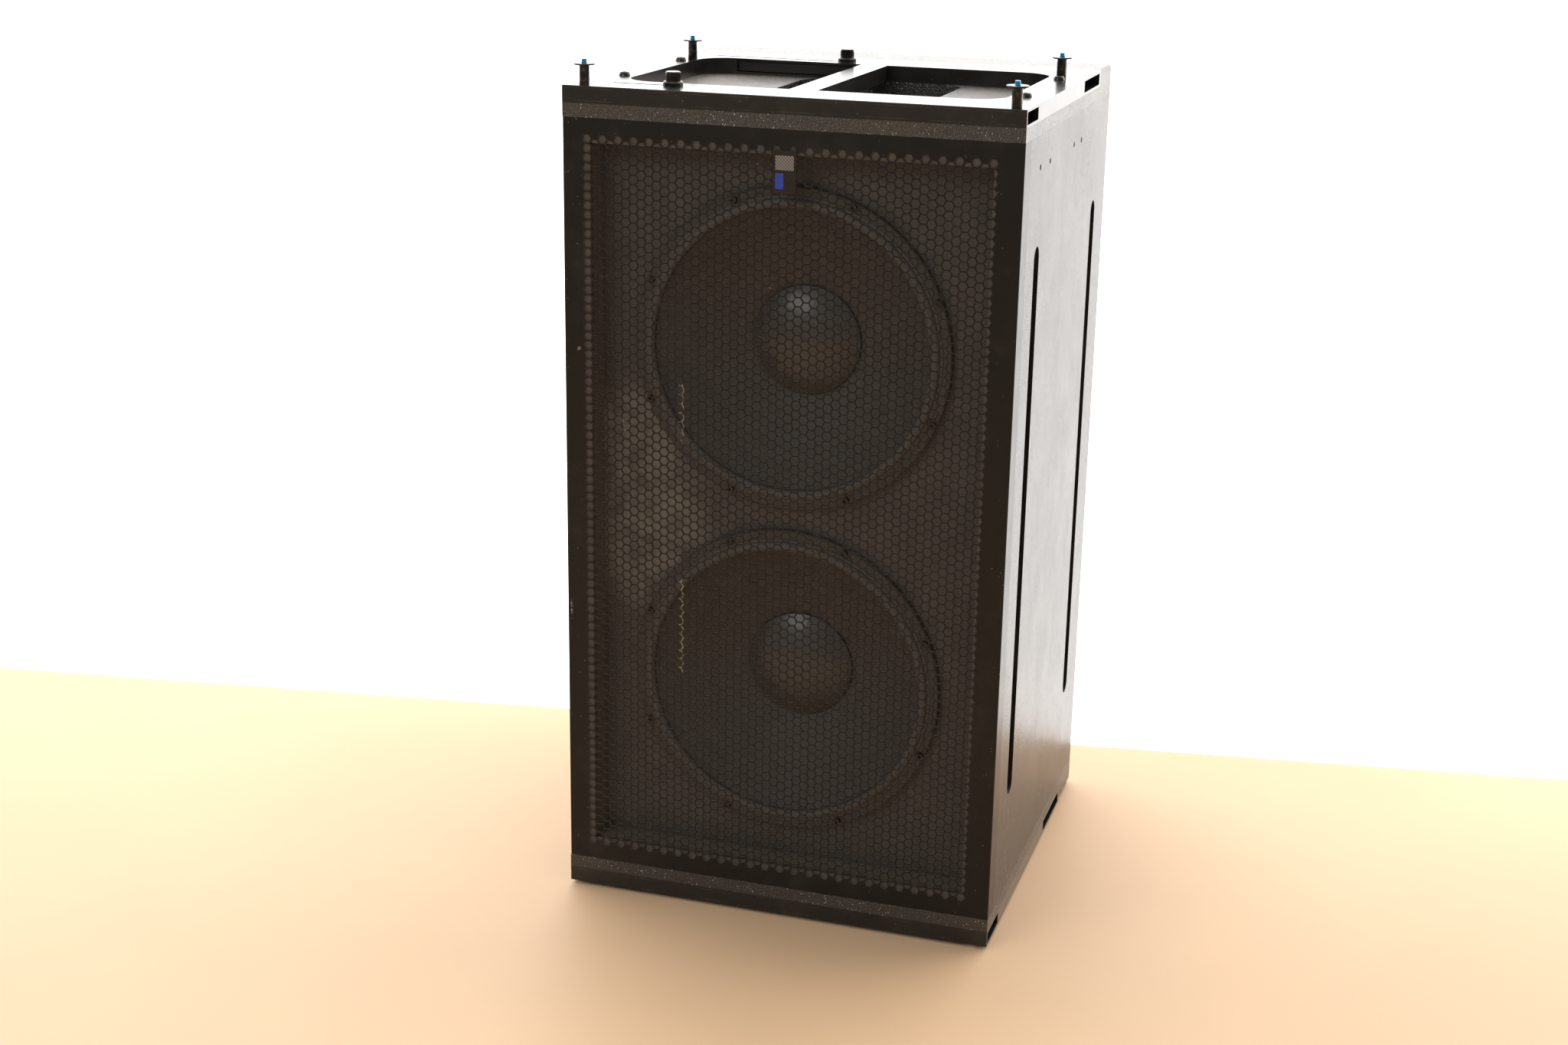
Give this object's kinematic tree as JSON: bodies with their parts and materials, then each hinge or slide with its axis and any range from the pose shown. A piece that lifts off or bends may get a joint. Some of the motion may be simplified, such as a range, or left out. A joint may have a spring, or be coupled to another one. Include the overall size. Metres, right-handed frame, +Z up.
{
  "type": "touring subwoofer loudspeaker cabinet",
  "caption": "Self-powered touring subwoofer stood on end: black plywood cabinet, hex-perforated front grille, rigging frames with sliding links and pull-out pins, skid grooves on one side.",
  "frame": {"origin": "on the ground under the middle of the whole part, feet at z = 0", "axes": "+Z up the long way as it stands, +Y towards the amplifier at the back, the grille facing -Y, +X towards the grooved side"},
  "size_m": [0.554, 0.5446, 1.0444],
  "materials": {
    "cabinet_paint": "black textured paint on plywood, speckled",
    "inner_wood": "black stained plywood",
    "cup_moulding": "black, lightly textured",
    "skid_plastic": "black, smooth",
    "frame_metal": "black powder coat, satin",
    "black_screw": "black oxide",
    "link_steel": "black, scuffed",
    "knob_metal": "dark knurled steel",
    "pin_steel": "dark oxidised steel",
    "button_blue": "light blue anodised look",
    "grille_steel": "black powder coat, satin",
    "batten_wood": "bare wood strips, dusty",
    "badge_gloss": "black with a plain silver square and a plain blue bar",
    "cast_basket": "black cast",
    "surround_rubber": "matt",
    "cone_paper": "black pulp",
    "cap_paper": "black pulp, dusty",
    "spider_cloth": "treated cloth",
    "coil_copper": "enamelled wire",
    "motor_iron": "black",
    "amp_aluminium": "black anodised",
    "board_laminate": "green laminate",
    "transformer_wrap": "wrapped ring core",
    "socket_plastic": "black",
    "inlet_plastic": "blue"
  },
  "bodies": {
    "cabinet": {"amp_board": "board_laminate", "amp_panel": "amp_aluminium", "amp_transformer": "transformer_wrap", "badge": "badge_gloss", "basket_lower": "cast_basket", "basket_upper": "cast_basket", "bass_ports": "cup_moulding", "centre_brace": "inner_wood", "driver_bolts": "black_screw", "end_panel_bottom": "cabinet_paint", "end_panel_top": "cabinet_paint", "frame_base_plate_bottom": "frame_metal", "frame_base_plate_top": "frame_metal", "frame_bolts": "black_screw", "frame_core_bars_bottom": "frame_metal", "frame_core_bars_top": "frame_metal", "frame_cover_plate_bottom": "frame_metal", "frame_cover_plate_top": "frame_metal", "frame_cover_screws": "black_screw", "front_baffle": "inner_wood", "grille": "grille_steel", "grille_battens": "batten_wood", "hand_cup_bottom": "cup_moulding", "hand_cup_top": "cup_moulding", "motor_lower": "motor_iron", "motor_upper": "motor_iron", "power_inlet": "inlet_plastic", "rear_panel": "cabinet_paint", "side_panel_left": "cabinet_paint", "side_panel_right": "cabinet_paint", "side_screws": "black_screw", "signal_sockets": "socket_plastic", "skid_front": "skid_plastic", "skid_rear": "skid_plastic", "spiders": "spider_cloth", "surround_lower": "surround_rubber", "surround_upper": "surround_rubber"},
    "front_link_top": {"front_link_top": "link_steel"},
    "rear_link_top": {"rear_link_top": "link_steel"},
    "front_link_bottom": {"front_link_bottom": "link_steel", "front_guide_screw": "black_screw"},
    "rear_link_bottom": {"rear_link_bottom": "link_steel", "rear_guide_screw": "black_screw"},
    "front_knob": {"front_link_knob": "knob_metal"},
    "rear_knob": {"rear_link_knob": "knob_metal"},
    "pin_front_left": {"pin_front_left": "pin_steel"},
    "button_front_left": {"pin_button_front_left": "button_blue"},
    "pin_front_right": {"pin_front_right": "pin_steel"},
    "button_front_right": {"pin_button_front_right": "button_blue"},
    "pin_rear_left": {"pin_rear_left": "pin_steel"},
    "button_rear_left": {"pin_button_rear_left": "button_blue"},
    "pin_rear_right": {"pin_rear_right": "pin_steel"},
    "button_rear_right": {"pin_button_rear_right": "button_blue"},
    "cone_assembly_lower": {"cone_lower": "cone_paper", "dust_cap_lower": "cap_paper", "voice_coil_lower": "coil_copper"},
    "cone_assembly_upper": {"cone_upper": "cone_paper", "dust_cap_upper": "cap_paper", "voice_coil_upper": "coil_copper"}
  },
  "joints": [
    {"name": "front_link_top_slide", "type": "slide", "parent": "cabinet", "child": "front_link_top", "axis": [-1, 0, 0], "range_m": [0, 0.072]},
    {"name": "rear_link_top_slide", "type": "slide", "parent": "cabinet", "child": "rear_link_top", "axis": [-1, 0, 0], "range_m": [0, 0.175]},
    {"name": "front_link_bottom_slide", "type": "slide", "parent": "cabinet", "child": "front_link_bottom", "axis": [-1, 0, 0], "range_m": [0, 0.072]},
    {"name": "rear_link_bottom_slide", "type": "slide", "parent": "cabinet", "child": "rear_link_bottom", "axis": [-1, 0, 0], "range_m": [0, 0.175]},
    {"name": "front_knob_turn", "type": "hinge", "parent": "front_link_top", "child": "front_knob", "pos_m": [-0.15, -0.2217, 1.0144], "axis": [0, 0, 1], "range_deg": [0, 270]},
    {"name": "rear_knob_turn", "type": "hinge", "parent": "rear_link_top", "child": "rear_knob", "pos_m": [-0.044, 0.1363, 1.0144], "axis": [0, 0, 1], "range_deg": [0, 270]},
    {"name": "pin_front_left_pull", "type": "slide", "parent": "cabinet", "child": "pin_front_left", "axis": [0, 0, 1], "range_m": [0, 0.055]},
    {"name": "button_front_left_press", "type": "slide", "parent": "pin_front_left", "child": "button_front_left", "axis": [0, 0, -1], "range_m": [0, 0.0025], "stiffness_N_per_m": 400, "springref_m": -0.003},
    {"name": "pin_front_right_pull", "type": "slide", "parent": "cabinet", "child": "pin_front_right", "axis": [0, 0, 1], "range_m": [0, 0.055]},
    {"name": "button_front_right_press", "type": "slide", "parent": "pin_front_right", "child": "button_front_right", "axis": [0, 0, -1], "range_m": [0, 0.0025], "stiffness_N_per_m": 400, "springref_m": -0.003},
    {"name": "pin_rear_left_pull", "type": "slide", "parent": "cabinet", "child": "pin_rear_left", "axis": [0, 0, 1], "range_m": [0, 0.055]},
    {"name": "button_rear_left_press", "type": "slide", "parent": "pin_rear_left", "child": "button_rear_left", "axis": [0, 0, -1], "range_m": [0, 0.0025], "stiffness_N_per_m": 400, "springref_m": -0.003},
    {"name": "pin_rear_right_pull", "type": "slide", "parent": "cabinet", "child": "pin_rear_right", "axis": [0, 0, 1], "range_m": [0, 0.055]},
    {"name": "button_rear_right_press", "type": "slide", "parent": "pin_rear_right", "child": "button_rear_right", "axis": [0, 0, -1], "range_m": [0, 0.0025], "stiffness_N_per_m": 400, "springref_m": -0.003},
    {"name": "cone_lower_stroke", "type": "slide", "parent": "cabinet", "child": "cone_assembly_lower", "axis": [0, -1, 0], "range_m": [-0.008, 0.008], "stiffness_N_per_m": 8000},
    {"name": "cone_upper_stroke", "type": "slide", "parent": "cabinet", "child": "cone_assembly_upper", "axis": [0, -1, 0], "range_m": [-0.008, 0.008], "stiffness_N_per_m": 8000}
  ]
}
